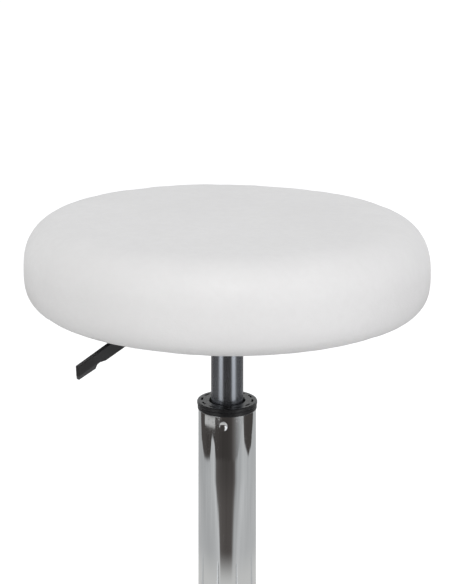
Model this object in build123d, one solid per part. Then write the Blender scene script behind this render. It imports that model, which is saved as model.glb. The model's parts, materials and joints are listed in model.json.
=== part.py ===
from build123d import *
import math
import os

# Rolling stool: a round upholstered seat on a gas lift, in a five-arm base on twin-wheel
# casters. Millimetres. +Z is up and the origin is on the floor under the lift's axis.
# The height lever points towards -X and -Y.
# Names: _R radius, _Z height, _T thickness, _W width, _AZ angle from +X towards +Y in degrees.
# Gaps of a few hundredths between neighbours keep the pieces from overlapping.

# Seat cushion
SEAT_R = 175.0            # greatest radius of the cushion
SEAT_MID_Z = 457.5        # height of the greatest radius
TOP_RISE = 37.7           # rim to the start of the top
TOP_ROLL = 39.0           # radial width of the upper edge roll
TOP_POWER = 2.38          # superellipse power of the upper roll
CROWN = 1.2               # extra height at the middle
CROWN_FLAT_R = 70.0       # the flat middle of the crown
CROWN_RADII = (118.0, 106.0, 94.0, 82.0, CROWN_FLAT_R)
LOW_DROP = 35.3           # rim to the underside
LOW_ROLL = 36.0           # radial width of the lower edge roll
LOW_POWER = 3.2
ROLL_STEPS = 18           # steps along each edge roll
UNDERSIDE_Z = SEAT_MID_Z - LOW_DROP
COVER_T = 1.5             # upholstery sheet
COVER_TUCK_R = 118.0      # inner edge of the turned-in upholstery
BOARD_R = 146.0
BOARD_T = 12.0
BOARD_Z0 = UNDERSIDE_Z + COVER_T + 0.1
BOARD_Z1 = BOARD_Z0 + BOARD_T
DUST_R = 136.0
DUST_T = 0.6

# Staples: two rings, given as (radius, first angle)
STAPLE_STEP = 15.0
STAPLE_N = int(360 / STAPLE_STEP)
COVER_STAPLES = (123.0, 0.0)
DUST_STAPLES = (131.0, STAPLE_STEP / 2)
COVER_LEG, DUST_LEG = 9.0, 10.0
CROWN_HALF = 5.5          # half the width of a staple
CROWN_T = 0.6
WIRE_HALF = 0.45
SLIT_HALF = 0.47
LEG_Y = CROWN_HALF - WIRE_HALF

# Lever mechanism, in its own frame: +X along the lever, then turned to LEVER_AZ
LEVER_AZ = 220.0
PLATE_SIDE = 150.0
PLATE_T = 2.5
PLATE_Z1 = BOARD_Z0 - DUST_T
PLATE_Z0 = PLATE_Z1 - PLATE_T
BOLT_OFFSET = 60.0        # half the side of the bolt square
BOLT_SQUARE = [(sx * BOLT_OFFSET, sy * BOLT_OFFSET) for sx in (-1, 1) for sy in (-1, 1)]
BOLT_R = 3.0
BOLT_HEAD_R, BOLT_HEAD_H = 5.8, 4.0
PAN_X0, PAN_X1 = -52.0, 62.0
PAN_HALF_W = 24.0
PAN_FLOOR_Z = 393.5
PAN_CORNER_R = 9.0
RIB_Y = 50.0
PIVOT_X = 44.0
PIVOT_Z = 414.0
PIVOT_R = 3.0
LEVER_T = 3.0
LEVER_HALF_H = 4.5
LEVER_TAIL_X = -9.0
KNEE_X = 72.0             # the level part of the lever ends here
BEND_X, BEND_Z = 112.0, 410.0
SLOPE = math.radians(21.6)   # fall of the outer part, beyond the bend
LEVER_END = 17.0          # length beyond the bend
GRIP_ROOT_X = 82.0
GRIP_T = 4.4
GRIP_GAP = 0.06

# Gas spring
CYL_R = 14.0
CYL_BORE_R = 12.5
CYL_TOP_Z = 403.5
CYL_LOW_Z = 148.0
CYL_END_Z = CYL_LOW_Z + 2.0  # inner face of the lower end
VALVE_Z = 381.0           # the bore narrows here to the valve's seat
TAPER_Z = 383.0           # the cone starts here
TAPER = math.tan(math.radians(1.4378))
SOCKET_R = 19.0
SOCKET_Z0, SOCKET_Z1 = 382.0, 403.0
VALVE_PIN_R = 4.0
VALVE_PIN_Z0, VALVE_PIN_Z1 = 388.0, 409.3
ROD_R = 5.0
ROD_END_R = 4.0
SHOULDER_Z = 97.02
PISTON_Z = 272.05

# Thrust bearing at the rod's lower end
WASHER_R = 13.0
BALL_N = 8
BALL_R = 2.0
BALL_PITCH_R = 9.0
BALL_Z = 92.55

# Column
COL_R = 25.0
COL_WALL = 2.0
COL_BORE_R = COL_R - COL_WALL
COL_TOP_Z = 330.4
COL_LOW_Z = 78.0
COL_TAPER_Z = 150.0       # the column narrows below here
COL_TAPER = 0.03
SLEEVE_TOP_Z = 337.0
SLEEVE_LOW_Z = 257.0
SLEEVE_BORE_R = 14.05
SLEEVE_LIP_R = 26.1
DIMPLE_Z = 322.5
DIMPLE_AZ = [262.4 + 120.0 * i for i in range(3)]
DIMPLE_BALL_R = 7.27      # leaves a dimple 8 mm across
DIMPLE_DEPTH = 1.2
SLOT_N = 12
SLOT_FIRST_AZ = -6.4
SLOT_MID_R = 21.9
SLOT_HALF_W = 0.85        # radially
SLOT_HALF_LENGTH = 3.2    # round the flange

# Base
HUB_R = 30.5
HUB_Z0, HUB_Z1 = 72.0, 149.0
ARM_N = 5
ARM_AZ = [90.0 + i * 360.0 / ARM_N for i in range(ARM_N)]
CASTER_PITCH_R = 270.0
ARM_ROOT_X = 20.0
ARM_ROOT_HALF_W, ARM_TIP_HALF_W = 16.0, 13.0
ARM_WALL = 2.2
# (x, z) along the arm
ARM_TOP = [(ARM_ROOT_X, 139.5), (60, 137.0), (120, 127.0), (180, 113.5), (235, 101.0),
           (262, 95.6), (290, 93.6)]
ARM_UNDER = [(290, 66.0), (235, 67.5), (150, 78.0), (60, 88.0), (ARM_ROOT_X, 89.5)]

# Casters: stem axis at the origin of their own frame, axle at x = -TRAIL
WHEEL_R = 25.0
WHEEL_IN_Y, WHEEL_OUT_Y = 5.5, 21.5
TRAIL = 18.0
AXLE_R = 3.0
AXLE_HALF = 19.6
STEM_R = 5.5
STEM_LOW_R = 5.0
HOOD_IN_R, HOOD_OUT_R = WHEEL_R + 1.2, WHEEL_R + 3.6
HOOD_START, HOOD_END = 8.0, 168.0   # degrees round the axle, from +X towards +Z
WEB_R = 21.0
WEB_HALF = WHEEL_IN_Y - 1.0
CASTER_YAW = (-90.0, -35.0, 12.0, -20.0, 48.0)   # from square to the arm

BOTTOM_CENTRED = (Align.CENTER, Align.CENTER, Align.MIN)

os.makedirs("parts", exist_ok=True)


# ---------------------------------------------------------------- helpers
def save(name, shape):
    """Write a shape, or a list of shapes, as one STEP file."""
    items = shape if isinstance(shape, (list, tuple)) else [shape]
    solids = [solid for item in items for solid in item.solids()]
    if len(solids) == 1:
        out = solids[0]
    else:
        out = Compound(children=[Solid(solid.wrapped) for solid in solids])
    export_step(out, f"parts/{name}.step")


def on_xz(points):
    """Space points from (x, z) pairs."""
    return [(x, 0, z) for x, z in points]


def line_xz(start, end):
    return Line(*on_xz([start, end]))


def face_xz(points):
    return make_face(Polyline(on_xz(points), close=True))


def turned(points):
    """Solid of revolution about Z from (radius, z) points."""
    return revolve(face_xz(points), Axis.Z)


def ring(inner_r, outer_r, z0, z1):
    return turned([(inner_r, z0), (outer_r, z0), (outer_r, z1), (inner_r, z1)])


def rod(radius, z0, z1, x=0.0, y=0.0):
    return Pos(x, y, z0) * Cylinder(radius, z1 - z0, align=BOTTOM_CENTRED)


def rod_y(radius, y0, y1, x=0.0, z=0.0):
    """Cylinder along Y."""
    return Pos(x, y0, z) * Rot(-90, 0, 0) * Cylinder(radius, y1 - y0, align=BOTTOM_CENTRED)


def block(x0, x1, y0, y1, z0, z1):
    return Pos((x0 + x1) / 2, (y0 + y1) / 2, (z0 + z1) / 2) * Box(x1 - x0, y1 - y0, z1 - z0)


def thick(face, half):
    """XZ face thickened from -half to +half along Y."""
    return extrude(face, amount=half, dir=(0, 1, 0), both=True)


def turn(angle, shape):
    return Rot(0, 0, angle) * shape


def mirrored_span(inner, outer):
    """The span inner to outer on the -Y side, then on the +Y side."""
    return (-outer, -inner), (inner, outer)


def round_rim(body, rim_r, fillet_r):
    """Fillet the circular edges of radius rim_r."""
    rims = [e for e in body.edges()
            if e.geom_type == GeomType.CIRCLE and abs(e.radius - rim_r) < 0.01]
    return fillet(rims, fillet_r)


# ---------------------------------------------------------------- seat
def cushion_top_z(radius):
    across = max(0.0, (radius - (SEAT_R - TOP_ROLL)) / TOP_ROLL)
    roll = TOP_RISE * max(0.0, 1 - across ** TOP_POWER) ** (1 / TOP_POWER)
    out = max(0.0, (radius - CROWN_FLAT_R) / (SEAT_R - CROWN_FLAT_R))
    return SEAT_MID_Z + roll + CROWN * (1 - out * out)


def cushion_profile(offset):
    """(radius, z) points from the underside round the rim to the flat top, moved inwards."""
    low, radii = [], []
    for i in range(ROLL_STEPS + 1):
        angle = math.pi / 2 * i / ROLL_STEPS
        low.append((SEAT_R - LOW_ROLL + LOW_ROLL * math.cos(angle) ** (2 / LOW_POWER),
                    SEAT_MID_Z - LOW_DROP * math.sin(angle) ** (2 / LOW_POWER)))
        if i:
            radii.append(SEAT_R - TOP_ROLL + TOP_ROLL * math.cos(angle) ** (2 / TOP_POWER))
    whole = low[::-1] + [(r, cushion_top_z(r)) for r in (*radii, *CROWN_RADII)]
    last = len(whole) - 1
    moved = []
    for i, (radius, z) in enumerate(whole):
        if i == 0:
            dx, dz = 1.0, 0.0
        elif i == last:
            dx, dz = -1.0, 0.0
        else:
            before, after = whole[i - 1], whole[i + 1]
            dx, dz = after[0] - before[0], after[1] - before[1]
        length = math.hypot(dx, dz)
        moved.append((radius - offset * dz / length, z + offset * dx / length))
    return moved


def cushion_edge(points):
    return Spline(on_xz(points), tangents=[(1, 0, 0), (-1, 0, 0)])


def staple_slits(radius, first_angle, z0, z1):
    """Slits that the staple legs go through."""
    return [turn(first_angle + i * STAPLE_STEP,
                 block(radius - SLIT_HALF, radius + SLIT_HALF, y - SLIT_HALF, y + SLIT_HALF, z0, z1))
            for i in range(STAPLE_N) for y in (-LEG_Y, LEG_Y)]


def seat_cover():
    outer, inner = cushion_profile(0.0), cushion_profile(COVER_T)
    tuck_low = (COVER_TUCK_R, UNDERSIDE_Z)
    tuck_high = (COVER_TUCK_R, UNDERSIDE_Z + COVER_T)
    axis_outer, axis_inner = (0, outer[-1][1]), (0, inner[-1][1])
    body = revolve(make_face([
        line_xz(tuck_low, outer[0]),
        cushion_edge(outer),
        line_xz(outer[-1], axis_outer),
        line_xz(axis_outer, axis_inner),
        line_xz(axis_inner, inner[-1]),
        cushion_edge(inner),
        line_xz(inner[0], tuck_high),
        line_xz(tuck_high, tuck_low),
    ]), Axis.Z)
    body -= staple_slits(*COVER_STAPLES, UNDERSIDE_Z - 1, UNDERSIDE_Z + 3)
    return body - staple_slits(*DUST_STAPLES, UNDERSIDE_Z - 1, UNDERSIDE_Z + 3)


def bolt_spots():
    """(x, y) of the four seat bolts, turned with the lever."""
    angle = math.radians(LEVER_AZ)
    return [(x * math.cos(angle) - y * math.sin(angle), x * math.sin(angle) + y * math.cos(angle))
            for x, y in BOLT_SQUARE]


def seat_board():
    body = rod(BOARD_R, BOARD_Z0, BOARD_Z1)
    for x, y in bolt_spots():
        body -= rod(4.1, BOARD_Z0 - 1, BOARD_Z1 + 1, x, y)
    body -= staple_slits(*COVER_STAPLES, UNDERSIDE_Z, UNDERSIDE_Z - 0.6 + COVER_LEG)
    return body - staple_slits(*DUST_STAPLES, UNDERSIDE_Z, UNDERSIDE_Z - 1.9 + DUST_LEG)


def seat_foam():
    edge = cushion_profile(COVER_T + 0.15)
    axis_low, axis_top = (0, edge[0][1]), (0, edge[-1][1])
    body = revolve(make_face([
        line_xz(axis_low, edge[0]),
        cushion_edge(edge),
        line_xz(edge[-1], axis_top),
        line_xz(axis_top, axis_low),
    ]), Axis.Z)
    body -= rod(BOARD_R + 0.1, edge[0][1] - 5, BOARD_Z1 + 0.1)
    # room for the tee nut flanges
    for x, y in bolt_spots():
        body -= rod(10.5, BOARD_Z1 - 1, BOARD_Z1 + 2.4, x, y)
    return body


def dust_cover():
    """Sheet under the board that steps down over the turned-in upholstery."""
    mid_z = BOARD_Z0 - DUST_T
    rim_z = UNDERSIDE_Z - 1.3
    body = turned([
        (0, mid_z), (114.0, mid_z), (116.6, rim_z), (DUST_R, rim_z), (DUST_R, rim_z + DUST_T),
        (117.6, rim_z + DUST_T), (115.0, mid_z + DUST_T), (0, mid_z + DUST_T)])
    for x, y in bolt_spots():
        body -= rod(3.4, mid_z - 1, BOARD_Z0 + 1, x, y)
    return body - staple_slits(*DUST_STAPLES, rim_z - 1, rim_z + 2)


def staple(radius, crown_z, leg):
    """Crown lying square to the radius, with two legs upwards."""
    x0, x1 = radius - WIRE_HALF, radius + WIRE_HALF
    body = block(x0, x1, -CROWN_HALF, CROWN_HALF, crown_z, crown_z + CROWN_T)
    for y in (-LEG_Y, LEG_Y):
        body += block(x0, x1, y - WIRE_HALF, y + WIRE_HALF, crown_z, crown_z + leg)
    return body


def cover_staples():
    """One ring through the upholstery, one ring through the dust cover as well."""
    rows = ((COVER_STAPLES, UNDERSIDE_Z - 0.65, COVER_LEG),
            (DUST_STAPLES, UNDERSIDE_Z - 1.95, DUST_LEG))
    return [turn(first_angle + i * STAPLE_STEP, staple(radius, crown_z, leg))
            for i in range(STAPLE_N) for (radius, first_angle), crown_z, leg in rows]


def tee_nuts():
    nuts = []
    for x, y in bolt_spots():
        flange = rod(9.5, BOARD_Z1, BOARD_Z1 + 1.5, x, y)
        barrel = rod(4.0, BOARD_Z1 - 9.0, BOARD_Z1 + 0.5, x, y)
        nuts.append(flange + barrel - rod(BOLT_R + 0.02, BOARD_Z1 - 10, BOARD_Z1 + 3, x, y))
    return nuts


# ---------------------------------------------------------------- lever mechanism
def mount_plate():
    """Square flange with a hollow pan hanging below it."""
    half = PLATE_SIDE / 2
    flange = block(-half, half, -half, half, PLATE_Z0, PLATE_Z1)
    flange = fillet(flange.edges().filter_by(Axis.Z), 14.0)
    pan = block(PAN_X0, PAN_X1, -PAN_HALF_W, PAN_HALF_W, PAN_FLOOR_Z, PLATE_Z1)
    pan = fillet(pan.edges().filter_by(Axis.Z), PAN_CORNER_R)
    pan = fillet(pan.edges().group_by(Axis.Z)[0], 4.0)
    body = flange + pan
    hollow_half = PAN_HALF_W - PLATE_T
    hollow = block(PAN_X0 + PLATE_T, PAN_X1 - PLATE_T, -hollow_half, hollow_half,
                   PAN_FLOOR_Z + PLATE_T, PLATE_Z1 + 1)
    hollow = fillet(hollow.edges().filter_by(Axis.Z), PAN_CORNER_R - PLATE_T)
    body -= hollow
    # two stiffening ribs pressed into the flange
    for y in (-RIB_Y, RIB_Y):
        body += block(-44, 44, y - 4, y + 4, PLATE_Z0 - 2.2, PLATE_Z0 + 0.2)
        body -= block(-42, 42, y - 2.2, y + 2.2, PLATE_Z0 - 0.2, PLATE_Z1 + 1)
    # slot the lever leaves by, and holes for its pivot pin, the socket and the bolts
    body -= block(PAN_X1 - 8, PAN_X1 + 2, -3.4, 3.4, PIVOT_Z - 7.5, PLATE_Z0)
    body -= rod_y(PIVOT_R + 0.02, -40, 40, PIVOT_X, PIVOT_Z)
    body -= rod(SOCKET_R + 0.02, PAN_FLOOR_Z - 2, PAN_FLOOR_Z + 6)
    for x, y in BOLT_SQUARE:
        body -= rod(3.3, PLATE_Z0 - 2, PLATE_Z1 + 2, x, y)
    return turn(LEVER_AZ, body)


def cone_r(z):
    """Outer radius of the gas cylinder's tapered top."""
    return CYL_R - max(0.0, z - TAPER_Z) * TAPER


def taper_socket():
    gap = 0.02
    return turned([
        (CYL_R + gap, SOCKET_Z0), (SOCKET_R - 1.5, SOCKET_Z0), (SOCKET_R, SOCKET_Z0 + 1.5),
        (SOCKET_R, SOCKET_Z1 - 1), (SOCKET_R - 1, SOCKET_Z1),
        (cone_r(SOCKET_Z1) + gap, SOCKET_Z1), (CYL_R + gap, TAPER_Z)])


def mount_bolts():
    bolts = []
    for x, y in bolt_spots():
        hexagon = RegularPolygon(BOLT_HEAD_R, 6)
        head = Pos(x, y, PLATE_Z0 - 1.6 - BOLT_HEAD_H) * extrude(hexagon, BOLT_HEAD_H)
        head = chamfer(head.edges().group_by(Axis.Z)[0], 0.6)
        bolts.append(head + rod(BOLT_R, PLATE_Z0 - 2.0, BOARD_Z1 + 1.2, x, y))
    return bolts


def spring_washers():
    split = turn(30, block(2.0, 7.0, -0.5, 0.5, PLATE_Z0 - 3, PLATE_Z0 + 1))
    washer = ring(3.15, 5.6, PLATE_Z0 - 1.55, PLATE_Z0 - 0.05) - split
    return [Pos(x, y, 0) * washer for x, y in bolt_spots()]


def lever_pivot_pin():
    body = rod_y(PIVOT_R, -PAN_HALF_W - 0.5, PAN_HALF_W + 0.5, PIVOT_X, PIVOT_Z)
    for y0, y1 in mirrored_span(PAN_HALF_W + 0.05, PAN_HALF_W + 1.7):
        body += rod_y(4.6, y0, y1, PIVOT_X, PIVOT_Z)
    return turn(LEVER_AZ, body)


def pivot_bushes():
    """Bushes between the lever and the pan's walls."""
    bushes = []
    for y0, y1 in mirrored_span(LEVER_T / 2 + 0.15, PAN_HALF_W - PLATE_T - 0.1):
        bush = rod_y(5.6, y0, y1, PIVOT_X, PIVOT_Z)
        bush -= rod_y(PIVOT_R + 0.03, y0 - 1, y1 + 1, PIVOT_X, PIVOT_Z)
        bushes.append(turn(LEVER_AZ, bush))
    return bushes


def offset_line(points, distance):
    """Points of an open polyline moved sideways, with mitred corners."""
    normals = []
    for (x0, z0), (x1, z1) in zip(points, points[1:]):
        length = math.hypot(x1 - x0, z1 - z0)
        normals.append((-(z1 - z0) / length, (x1 - x0) / length))
    moved = []
    for i, (x, z) in enumerate(points):
        beside = normals[max(i - 1, 0):i + 1]
        nx, nz = sum(n[0] for n in beside), sum(n[1] for n in beside)
        length = math.hypot(nx, nz)
        nx, nz = nx / length, nz / length
        reach = distance / (nx * beside[0][0] + nz * beside[0][1])
        moved.append((x + nx * reach, z + nz * reach))
    return moved


def down_slope(along, above=0.0):
    """Point on the lever's outer part: along it from the bend, above its centre line."""
    return (BEND_X + along * math.cos(SLOPE) + above * math.sin(SLOPE),
            BEND_Z - along * math.sin(SLOPE) + above * math.cos(SLOPE))


def lever_bar(end, gap=0.0):
    """Bent flat bar, grown all round its section by gap."""
    line = [(LEVER_TAIL_X, PIVOT_Z), (KNEE_X, PIVOT_Z), (BEND_X, BEND_Z), down_slope(end)]
    top = offset_line(line, LEVER_HALF_H + gap)
    low = offset_line(line, -LEVER_HALF_H - gap)
    return thick(face_xz(top + low[::-1]), LEVER_T / 2 + gap)


def lever_arm():
    body = lever_bar(LEVER_END)
    body -= rod_y(PIVOT_R + 0.05, -5, 5, PIVOT_X, PIVOT_Z)
    return turn(LEVER_AZ, body)


def lever_grip():
    fall = (PIVOT_Z - BEND_Z) / (BEND_X - KNEE_X)
    root = (GRIP_ROOT_X, PIVOT_Z - (GRIP_ROOT_X - KNEE_X) * fall)
    line = [root, (BEND_X, BEND_Z), down_slope(46.0)]
    top = offset_line(line, 5.15)
    low = offset_line(line, -5.5)
    # (along, above) from the top of the tip round to the underside
    tip = [(46.2, 5.1), (48.7, -2.6), (49.2, -5.1), (32.2, -5.8), (29.5, -3.6),
           (26.5, -3.4), (21.0, -5.2)]
    outline = [top[0], top[1], *(down_slope(*point) for point in tip), low[1], low[0]]
    body = thick(face_xz(outline), GRIP_T / 2)
    face_edges = [e for e in body.edges() if abs(e.tangent_at(0.5).Y) < 0.1]
    body = fillet(face_edges, 0.8)
    return turn(LEVER_AZ, body - lever_bar(LEVER_END + 0.1, GRIP_GAP))


# ---------------------------------------------------------------- gas spring
def gas_cylinder():
    return turned([
        (5.6, CYL_LOW_Z), (CYL_R - 1.6, CYL_LOW_Z), (CYL_R, CYL_LOW_Z + 1.6), (CYL_R, TAPER_Z),
        (cone_r(CYL_TOP_Z - 1.0), CYL_TOP_Z - 1.0), (cone_r(CYL_TOP_Z) - 1.0, CYL_TOP_Z),
        (6.0, CYL_TOP_Z), (6.0, CYL_TOP_Z - 2.5), (11.9, CYL_TOP_Z - 2.5), (11.9, VALVE_Z),
        (CYL_BORE_R, VALVE_Z), (CYL_BORE_R, CYL_END_Z), (5.6, CYL_END_Z)])


def valve_body():
    bore_r = VALVE_PIN_R + 0.05
    return turned([
        (0, VALVE_Z + 0.1), (8.0, VALVE_Z + 0.1), (8.0, 384.0), (11.85, 384.0),
        (11.85, CYL_TOP_Z - 2.6), (bore_r, CYL_TOP_Z - 2.6), (bore_r, 383.5), (0, 383.5)])


def valve_pin():
    body = rod(VALVE_PIN_R, VALVE_PIN_Z0, VALVE_PIN_Z1)
    return fillet(body.edges().group_by(Axis.Z)[-1], 2.6)


def rod_guide():
    return ring(ROD_R + 0.05, CYL_BORE_R - 0.05, CYL_END_Z + 0.05, CYL_LOW_Z + 20.0)


def rod_seal():
    """Ring with a groove in its top face, on the rod guide."""
    inner_r, outer_r = ROD_R + 0.03, CYL_BORE_R - 0.03
    z0, groove_z, z1 = CYL_LOW_Z + 20.1, CYL_LOW_Z + 22.5, CYL_LOW_Z + 25.0
    return turned([
        (inner_r, z0), (outer_r, z0), (outer_r, z1), (CYL_BORE_R - 2.0, z1),
        (CYL_BORE_R - 3.5, groove_z), (ROD_R + 3.5, groove_z), (ROD_R + 1.5, z1), (inner_r, z1)])


def piston_rod():
    """Rod with a clip groove near its foot and a riveted head above the piston."""
    return turned([
        (0, 79.5), (ROD_END_R - 0.8, 79.5), (ROD_END_R, 80.3), (ROD_END_R, 82.2), (3.2, 82.2),
        (3.2, 83.4), (ROD_END_R, 83.4), (ROD_END_R, SHOULDER_Z), (ROD_R, SHOULDER_Z),
        (ROD_R, PISTON_Z - 0.05), (3.5, PISTON_Z - 0.05), (3.5, PISTON_Z + 11.0),
        (5.0, PISTON_Z + 11.0), (4.2, PISTON_Z + 13.4), (0, PISTON_Z + 13.8)])


def piston_head():
    # (radius, height above PISTON_Z)
    profile = [(3.53, 0), (11.6, 0), (12.35, 0.8), (12.35, 4.0), (10.5, 4.0), (10.5, 7.0),
               (12.35, 7.0), (12.35, 10.1), (11.6, 10.9), (3.53, 10.9)]
    return turned([(radius, PISTON_Z + height) for radius, height in profile])


def piston_ring():
    outer_r = CYL_BORE_R - 0.04
    return round_rim(ring(10.55, outer_r, PISTON_Z + 4.1, PISTON_Z + 6.9), outer_r, 0.5)


def rod_bumper():
    z = SHOULDER_Z + 0.08
    return turned([
        (ROD_R + 0.1, z), (12.0, z), (12.0, z + 4.0), (10.4, z + 5.5), (12.0, z + 7.0),
        (12.0, z + 12.5), (10.5, z + 14.5), (ROD_R + 0.1, z + 14.5)])


def bearing_upper_washer():
    return round_rim(ring(ROD_END_R + 0.03, WASHER_R, 94.6, 97.0), WASHER_R, 0.5)


def bearing_lower_washer():
    return round_rim(ring(ROD_END_R + 0.3, WASHER_R, 88.05, 90.5), WASHER_R, 0.5)


def ball_spots():
    angles = [math.radians(360 / BALL_N * i) for i in range(BALL_N)]
    return [(BALL_PITCH_R * math.cos(a), BALL_PITCH_R * math.sin(a)) for a in angles]


def ball_cage():
    body = ring(4.7, 12.5, BALL_Z - 0.8, BALL_Z + 0.8)
    for x, y in ball_spots():
        body -= rod(BALL_R + 0.1, 90, 95, x, y)
    return body


def bearing_balls():
    return [Pos(x, y, BALL_Z) * Sphere(BALL_R) for x, y in ball_spots()]


def rod_clip():
    return ring(3.25, 7.2, 82.3, 83.3) - block(0, 9, -2.2, 2.2, 81, 85)


# ---------------------------------------------------------------- column
def col_r(z):
    """Outer radius of the column, which narrows towards its foot."""
    return COL_R - max(0.0, COL_TAPER_Z - z) * COL_TAPER


def dimple_ball(grow):
    """Sphere that presses a dimple into the column on the +X side."""
    return Pos(COL_R + DIMPLE_BALL_R - DIMPLE_DEPTH, 0, DIMPLE_Z) * Sphere(DIMPLE_BALL_R + grow)


def column_tube():
    foot_r = col_r(COL_LOW_Z)
    body = turned([
        (foot_r - COL_WALL, COL_LOW_Z), (foot_r - 0.6, COL_LOW_Z),
        (col_r(COL_LOW_Z + 1), COL_LOW_Z + 1), (COL_R, COL_TAPER_Z),
        (COL_R, COL_TOP_Z - 0.25), (COL_R - 0.25, COL_TOP_Z),
        (COL_BORE_R, COL_TOP_Z), (COL_BORE_R, COL_TAPER_Z)])
    for angle in DIMPLE_AZ:
        bump = dimple_ball(1.6) & rod(COL_R - 0.5, DIMPLE_Z - 12, DIMPLE_Z + 12)
        body += turn(angle, bump)
        body -= turn(angle, dimple_ball(0.0))
    return body


def guide_sleeve():
    """Sleeve in the column's mouth, with a flange above it."""
    top = SLEEVE_TOP_Z
    flange_z = COL_TOP_Z + 0.1
    body = turned([
        (SLEEVE_BORE_R + 1.5, SLEEVE_LOW_Z), (COL_BORE_R - 1.2, SLEEVE_LOW_Z),
        (COL_BORE_R - 0.1, SLEEVE_LOW_Z + 2.5), (COL_BORE_R - 0.1, flange_z),
        (COL_R + 0.35, flange_z), (COL_R + 0.65, flange_z + 0.3), (COL_R + 0.65, top - 3.5),
        (COL_R + 0.3, top - 3.2), (COL_R + 0.3, top - 2.9),
        (SLEEVE_LIP_R - 0.25, top - 2.6), (SLEEVE_LIP_R, top - 2.3), (SLEEVE_LIP_R, top - 0.8),
        (SLEEVE_LIP_R - 0.3, top - 0.25), (SLEEVE_LIP_R - 0.9, top),
        (16.1, top), (15.7, top - 0.4), (15.0, top - 2.2),
        (SLEEVE_BORE_R + 0.4, top - 4.2), (SLEEVE_BORE_R, top - 5.2),
        (SLEEVE_BORE_R, SLEEVE_LOW_Z + 2.0)])
    # curved slots round the top face
    wedge_x = 40
    wedge_y = wedge_x * math.tan(SLOT_HALF_LENGTH / SLOT_MID_R)
    corners = [(0, 0, top - 6), (wedge_x, -wedge_y, top - 6), (wedge_x, wedge_y, top - 6)]
    wedge = extrude(make_face(Polyline(corners, close=True)), amount=8, dir=(0, 0, 1))
    slot = ring(SLOT_MID_R - SLOT_HALF_W, SLOT_MID_R + SLOT_HALF_W, top - 5.0, top + 1) & wedge
    for i in range(SLOT_N):
        body -= turn(SLOT_FIRST_AZ + i * 360.0 / SLOT_N, slot)
    # recesses that take the column's dimples
    for angle in DIMPLE_AZ:
        body -= turn(angle, dimple_ball(1.9))
    return body


def column_end_plate():
    z0, z1 = 84.0, 88.0
    bore_r, inset = ROD_END_R + 0.2, COL_WALL + 0.02
    return turned([(bore_r, z0), (col_r(z0) - inset, z0), (col_r(z1) - inset, z1), (bore_r, z1)])


# ---------------------------------------------------------------- base
def base_hub():
    gap = 0.03
    return turned([
        (col_r(HUB_Z0) + gap, HUB_Z0), (HUB_R - 1.5, HUB_Z0), (HUB_R, HUB_Z0 + 1.5),
        (HUB_R, HUB_Z1 - 3.5), (HUB_R - 1.1, HUB_Z1 - 1.2), (HUB_R - 3.6, HUB_Z1),
        (col_r(HUB_Z1) + gap, HUB_Z1)])


def arm_blank(inset, floor_z=None):
    """Arm along +X where its side and plan outlines meet, inset on top and sides.

    The underside is the arm's own curve, or flat at floor_z.
    """
    top = Spline(on_xz([(x, z - inset) for x, z in ARM_TOP]))
    root, tip = top @ 0, top @ 1
    if floor_z is None:
        under = Spline(on_xz(ARM_UNDER))
        edges = [top, Line(tip, under @ 0), under, Line(under @ 1, root)]
    else:
        low_tip, low_root = (tip.X, 0, floor_z), (root.X, 0, floor_z)
        edges = [top, Line(tip, low_tip), Line(low_tip, low_root), Line(low_root, root)]
    side_body = thick(make_face(edges), 40)
    x0, x1 = ARM_ROOT_X, CASTER_PITCH_R
    root_w, tip_w = ARM_ROOT_HALF_W - inset, ARM_TIP_HALF_W - inset
    plan = make_face([
        Line((x0, -root_w, 0), (x1, -tip_w, 0)),
        ThreePointArc((x1, -tip_w, 0), (x1 + tip_w, 0, 0), (x1, tip_w, 0)),
        Line((x1, tip_w, 0), (x0, root_w, 0)),
        Line((x0, root_w, 0), (x0, -root_w, 0))])
    return side_body & extrude(plan, amount=200, dir=(0, 0, 1))


def round_top(body, radius):
    """Fillet the upper edges along the arm's sides and round its nose."""
    picked = []
    for edge in body.edges():
        middle = edge.position_at(0.5)
        upright = abs(edge.tangent_at(0.5).Z) > 0.6
        at_side_or_nose = abs(middle.Y) > 9 or middle.X > CASTER_PITCH_R + 4
        if not upright and middle.X >= 24 and middle.Z > 84 and at_side_or_nose:
            picked.append(edge)
    return fillet(picked, radius)


def base_arm():
    """Hollow arm, open underneath."""
    body = round_top(arm_blank(0.0), 7.0)
    body -= round_top(arm_blank(ARM_WALL, floor_z=40.0), 7.0 - ARM_WALL)
    return body - rod(HUB_R + 0.05, 60, 160)


def caster_socket():
    """Bush inside the arm's nose that takes the caster stem."""
    return Pos(CASTER_PITCH_R, 0, 0) * ring(5.8, ARM_TIP_HALF_W - ARM_WALL - 0.1, 65.0, 88.0)


def caster_stem():
    """Stem with a collar below the arm and a groove for the grip ring."""
    return Pos(CASTER_PITCH_R, 0, 0) * turned([
        (0, 46.0), (4.4, 46.0), (STEM_LOW_R, 46.6), (STEM_LOW_R, 61.0), (8.5, 61.0), (8.5, 63.4),
        (STEM_R, 63.4), (STEM_R, 80.0), (4.5, 80.0), (4.5, 83.4), (STEM_R, 83.4),
        (STEM_R, 85.6), (4.2, 87.2), (0, 87.2)])


def stem_grip_ring():
    split = block(0, 8, -0.9, 0.9, 79, 85)
    return Pos(CASTER_PITCH_R, 0, 0) * (ring(4.6, 5.75, 80.2, 83.2) - split)


# ---------------------------------------------------------------- casters
def place_caster(i, shape):
    """Move a shape from the caster's frame to the end of arm i."""
    angle = math.radians(ARM_AZ[i])
    spot = Pos(CASTER_PITCH_R * math.cos(angle), CASTER_PITCH_R * math.sin(angle), 0)
    return spot * Rot(0, 0, ARM_AZ[i] + 90.0 + CASTER_YAW[i]) * shape


def round_axle(radius, degrees):
    """(x, z) point at a radius and angle round the axle."""
    angle = math.radians(degrees)
    return -TRAIL + radius * math.cos(angle), WHEEL_R + radius * math.sin(angle)


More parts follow.
